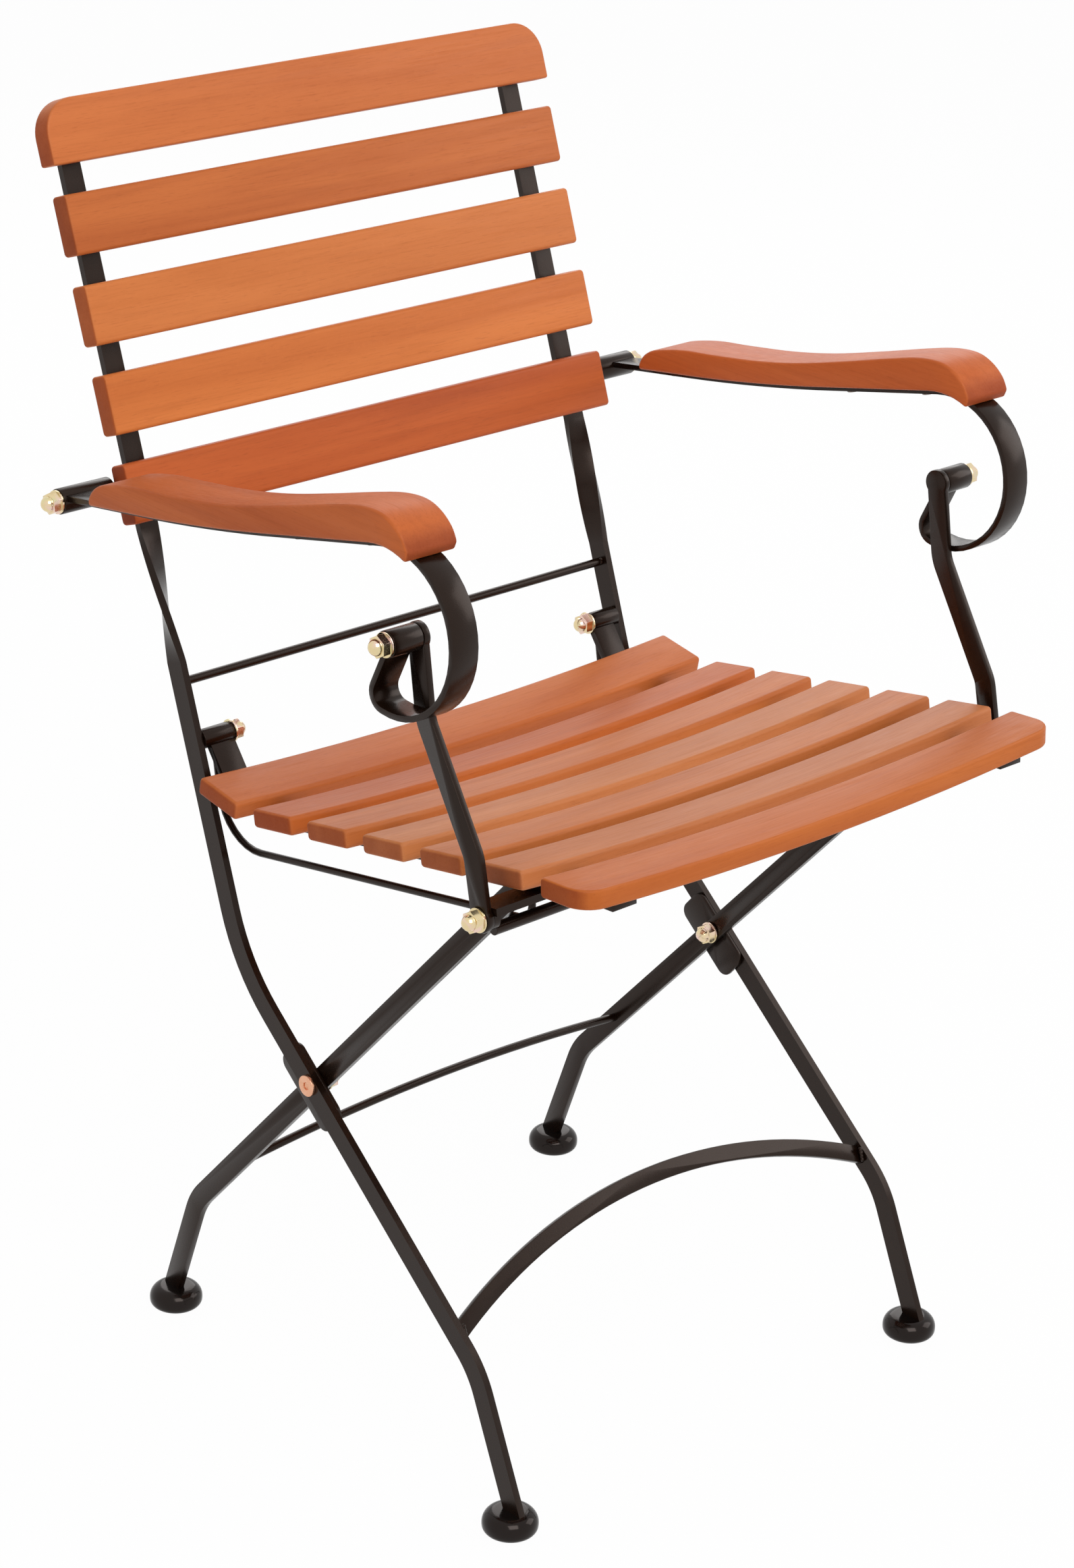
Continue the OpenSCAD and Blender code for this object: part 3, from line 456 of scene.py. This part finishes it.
def round_where(piece, wanted, radius, steps, only_sharp=False):
    """Round those edges of a piece whose two ends pass a test."""
    only(piece)
    bpy.ops.object.mode_set(mode="EDIT")
    bpy.ops.mesh.select_mode(type="EDGE")
    bpy.ops.mesh.select_all(action="DESELECT")
    if only_sharp:
        bpy.ops.mesh.edges_select_sharp(sharpness=SHARP_CORNER)
    bpy.ops.object.mode_set(mode="OBJECT")
    points = piece.data.vertices
    for edge in piece.data.edges:
        a, b = (points[v].co for v in edge.vertices)
        edge.select = (edge.select or not only_sharp) and wanted(a, b)
    bpy.ops.object.mode_set(mode="EDIT")
    bpy.ops.mesh.bevel(offset=radius, segments=steps, affect="EDGES")
    bpy.ops.object.mode_set(mode="OBJECT")


def round_corners(piece, radius, end_x):
    """Round the short upright edges at the two ends of a board."""
    slack = 0.2 * MM

    def upright_at_end(a, b):
        at_end = min(abs(a.x), abs(b.x)) > end_x - slack
        return at_end and abs(a.z - b.z) > abs(a.y - b.y)

    round_where(piece, upright_at_end, radius, steps=6, only_sharp=True)


def round_ring(piece, height, radius, steps):
    """Round the edges of a piece that lie at one height."""
    slack = 0.1 * MM

    def at_height(a, b):
        return abs(a.z - height) < slack and abs(b.z - height) < slack

    round_where(piece, at_height, radius, steps)


def round_edges(piece, radius, steps, sharp=30, clamp=True):
    """Round every edge sharper than an angle and shade the piece smooth."""
    only(piece)
    rounding = piece.modifiers.new("rounding", "BEVEL")
    rounding.width = radius
    rounding.segments = steps
    rounding.limit_method = "ANGLE"
    rounding.angle_limit = math.radians(sharp)
    rounding.use_clamp_overlap = clamp
    bpy.ops.object.modifier_apply(modifier="rounding")
    bpy.ops.object.shade_smooth_by_angle(angle=SMOOTH_WITHIN)


def softened(node, radius, steps, sharp=30, clamp=True):
    """The node's own shape with its edges rounded, as a piece that stands for it."""
    piece = copied(node, node + "_soft")
    round_edges(piece, radius, steps, sharp, clamp)
    return piece


def foot_cap(node):
    """Flat round cap under a leg, domed on top, at the place of the node's own cap."""
    piece = copied(node, node + "_cap")
    points = [point.co for point in piece.data.vertices]
    left, right = (pick(p.x for p in points) for pick in (min, max))
    front, back = (pick(p.y for p in points) for pick in (min, max))
    middle = ((left + right) / 2, (front + back) / 2, FOOT_HEIGHT / 2)
    bpy.ops.object.mode_set(mode="EDIT")
    bpy.ops.mesh.select_all(action="SELECT")
    bpy.ops.mesh.delete(type="VERT")
    bpy.ops.mesh.primitive_cylinder_add(
        vertices=FOOT_SIDES, radius=(right - left) / 2, depth=FOOT_HEIGHT, location=middle)
    bpy.ops.object.mode_set(mode="OBJECT")
    round_ring(piece, FOOT_HEIGHT, FOOT_DOME, steps=10)
    round_ring(piece, 0, FOOT_SOLE, steps=6)
    bpy.ops.object.shade_smooth_by_angle(angle=SMOOTH_WITHIN)
    return piece


def finish_with(piece, material):
    """Give the piece one material."""
    piece.data.materials.clear()
    piece.data.materials.append(material)


# ---- boards and arms ---------------------------------------------------------

# Each board's light, middle and dark tone as photographed, and the strength of its figure
BOARDS = {
    "back_slat_1": (((0.56, 0.118, 0.024), (0.46, 0.084, 0.014), (0.26, 0.042, 0.007)), 0.35),
    "back_slat_2": (((0.71, 0.208, 0.048), (0.60, 0.158, 0.032), (0.38, 0.080, 0.014)), 0.25),
    "back_slat_3": (((0.70, 0.218, 0.058), (0.60, 0.171, 0.039), (0.38, 0.085, 0.017)), 0.25),
    "back_slat_4": (((0.58, 0.156, 0.036), (0.48, 0.114, 0.024), (0.30, 0.062, 0.011)), 0.32),
    "back_slat_5": (((0.66, 0.188, 0.050), (0.56, 0.143, 0.034), (0.36, 0.074, 0.014)), 0.35),
    "seat_slat_1": (((0.60, 0.165, 0.040), (0.51, 0.122, 0.025), (0.33, 0.064, 0.011)), 0.30),
    "seat_slat_2": (((0.57, 0.140, 0.026), (0.48, 0.100, 0.013), (0.31, 0.054, 0.007)), 0.30),
    "seat_slat_3": (((0.62, 0.190, 0.050), (0.53, 0.144, 0.032), (0.35, 0.076, 0.015)), 0.25),
    "seat_slat_4": (((0.65, 0.235, 0.080), (0.57, 0.188, 0.056), (0.37, 0.098, 0.026)), 0.25),
    "seat_slat_5": (((0.61, 0.195, 0.055), (0.52, 0.150, 0.036), (0.34, 0.080, 0.017)), 0.28),
    "seat_slat_6": (((0.59, 0.200, 0.066), (0.50, 0.154, 0.045), (0.33, 0.080, 0.020)), 0.28),
    "seat_slat_7": (((0.57, 0.150, 0.026), (0.48, 0.108, 0.014), (0.32, 0.058, 0.008)), 0.30),
}
LOG_STEP = (0.37, 0.11, 0.23)  # from one board's place in the log to the next one's
BOARD_END = max(corner[0] for corner in nodes["seat_slat_1"].bound_box)
BOARD_CORNER, BOARD_EDGE = 3 * MM, 1.8 * MM

# The same for the arms, with each one's place in the log
ARMS = {
    "arm_rest_left": (((0.62, 0.150, 0.036), (0.53, 0.110, 0.021), (0.31, 0.056, 0.010)),
                      (4.1, 0.3, 0.2)),
    "arm_rest_right": (((0.56, 0.130, 0.028), (0.46, 0.090, 0.014), (0.27, 0.048, 0.008)),
                       (5.3, 0.7, 0.6)),
}
ARM_FIGURE = 0.35
ARM_EDGE = 2 * MM


def boards():
    """The slats, with the grain along X. Those of the seat have rounded ends."""
    for number, (board, (tones, figure)) in enumerate(BOARDS.items()):
        place_in_log = tuple(step * number for step in LOG_STEP)
        piece = copied(board, board + "_board")
        if board.startswith("seat"):
            round_corners(piece, BOARD_CORNER, BOARD_END)
        round_edges(piece, BOARD_EDGE, steps=4, clamp=False)
        finish_with(piece, wood(board + "_wood", tones, figure, place_in_log))


def arms():
    """The arm rests, with the grain along Y."""
    for name, (tones, place_in_log) in ARMS.items():
        piece = softened(name, ARM_EDGE, steps=4, sharp=40, clamp=False)
        finish_with(piece, wood(name + "_wood", tones, ARM_FIGURE, place_in_log, 90, "Y"))


# ---- steel, feet and fasteners -----------------------------------------------

# Steel pieces by the rounding of their edges, with its steps
STEEL = (
    (0.8 * MM, 2, (
        "back_bar_left", "back_bar_right", "front_arch", "stop_plate_left", "stop_plate_right",
        "rear_leg_left", "rear_leg_right", "seat_rail_left", "seat_rail_right",
        "seat_cross_strip", "arm_strap_left", "arm_strap_right", "arm_post_left",
        "arm_post_right")),
    (0.4 * MM, 2, (
        "seat_tube_left", "seat_tube_right", "arm_rear_tube_left", "arm_rear_tube_right",
        "arm_front_tube_left", "arm_front_tube_right")),
    (0.3 * MM, 1, (
        "back_rod", "rear_bow_rod", "slide_rod", "seat_front_rod", "guide_wire_left",
        "guide_wire_right", "seat_pivot_studs", "arm_pivot_studs", "post_foot_bolts")),
)
FEET = ("front_foot_left", "front_foot_right", "rear_foot_left", "rear_foot_right")

# Fasteners by the rounding of their edges, with their material and slot
FASTENERS = (
    (0.5 * MM, yellow_zinc, "cap_nuts", (
        "seat_pivot_nuts", "arm_pivot_nuts", "cross_nuts", "post_foot_nuts",
        "post_top_bolt_left", "post_top_bolt_right")),
    (0.5 * MM, copper_plate, "socket_heads", ("cross_bolts",)),
    (0.4 * MM, dark_zinc, "wood_screws", (
        "back_slat_screws", "seat_slat_screws", "arm_screws_left", "arm_screws_right")),
)


def metalwork():
    """Bars, tubes and rods, then the feet, then the fasteners."""
    for radius, steps, names in STEEL:
        for name in names:
            finish_with(softened(name, radius, steps), black_steel)
    for name in FEET:
        finish_with(foot_cap(name), foot_plastic)
    for radius, material, slot, names in FASTENERS:
        for name in names:
            finish_with(softened(name, radius, steps=2), material)


# ---- welds -------------------------------------------------------------------

# Each weld's node, its place from the end of that node (inwards, back and up), its
# direction, its length and width, and the seed of its unevenness. Lengths in mm.
ALONG_LEG = (0, 0.35, 0.94)
WELDS = {
    "arch_weld": ("front_arch", (1.2, -4.2, 2.6), ALONG_LEG, 10, 3.6, 3),
    "arch_inner_weld": ("front_arch", (1.2, 4.6, -1.6), ALONG_LEG, 9, 3.2, 5),
    "rod_weld": ("back_rod", (0.8, -2.4, 1.4), (0, 0, 1), 4.5, 3.2, 7),
}
DROP_SPACING = 0.62  # of a weld's width, so that the drops run together
WELD_GRAIN = 0.35 * MM
WELD_UNEVEN = 0.12 * MM


def end_of(node, axis, sign):
    """Middle of the face at one end of a node, along an axis."""
    points = [point.co for point in nodes[node].data.vertices]
    reach = max(sign * p[axis] for p in points)
    last = [p for p in points if sign * p[axis] > reach - 0.4 * MM]
    low = Vector(min(p[k] for p in last) for k in range(3))
    high = Vector(max(p[k] for p in last) for k in range(3))
    return (low + high) / 2


def weld_bead(name, place, along, length, width, ride, seed):
    """A short row of melted drops, run together and coated with the steel."""
    drops = []
    count = max(2, round(length / (DROP_SPACING * width)))
    for k in range(count):
        step = (k - (count - 1) / 2) * length / count
        bpy.ops.mesh.primitive_uv_sphere_add(
            segments=16, ring_count=10, radius=width / 2 * MM,
            location=place + along * step * MM)
        drops.append(bpy.context.object)
    only(*drops)
    bpy.ops.object.join()
    bead = bpy.context.object
    bead.name = name
    bpy.ops.object.transform_apply(location=True, rotation=True, scale=True)
    melt = bead.modifiers.new("melt", "REMESH")
    melt.mode = "VOXEL"
    melt.voxel_size = WELD_GRAIN
    bpy.ops.object.modifier_apply(modifier="melt")
    bpy.ops.object.mode_set(mode="EDIT")
    bpy.ops.mesh.select_all(action="SELECT")
    bpy.ops.transform.vertex_random(offset=WELD_UNEVEN, seed=seed)
    bpy.ops.mesh.vertices_smooth(factor=0.5, repeat=3)
    bpy.ops.object.mode_set(mode="OBJECT")
    bpy.ops.object.shade_smooth()
    bead.data.materials.append(black_steel)
    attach(bead, ride)


def welds():
    """A bead of each kind on both sides of the frame."""
    for side, sign in (("left", 1), ("right", -1)):
        for name, (node, (inward, back, up), along, length, width, seed) in WELDS.items():
            place = end_of(node, 0, sign) + Vector((-sign * inward, back, up)) * MM
            weld_bead(name + "_" + side, place, Vector(along), length, width, "frame", seed)


# ---- the scene ---------------------------------------------------------------

photograph_camera()
surround()
pale_floor()
lamps()
bpy.context.scene.view_settings.view_transform = "Standard"

boards()
arms()
metalwork()
welds()
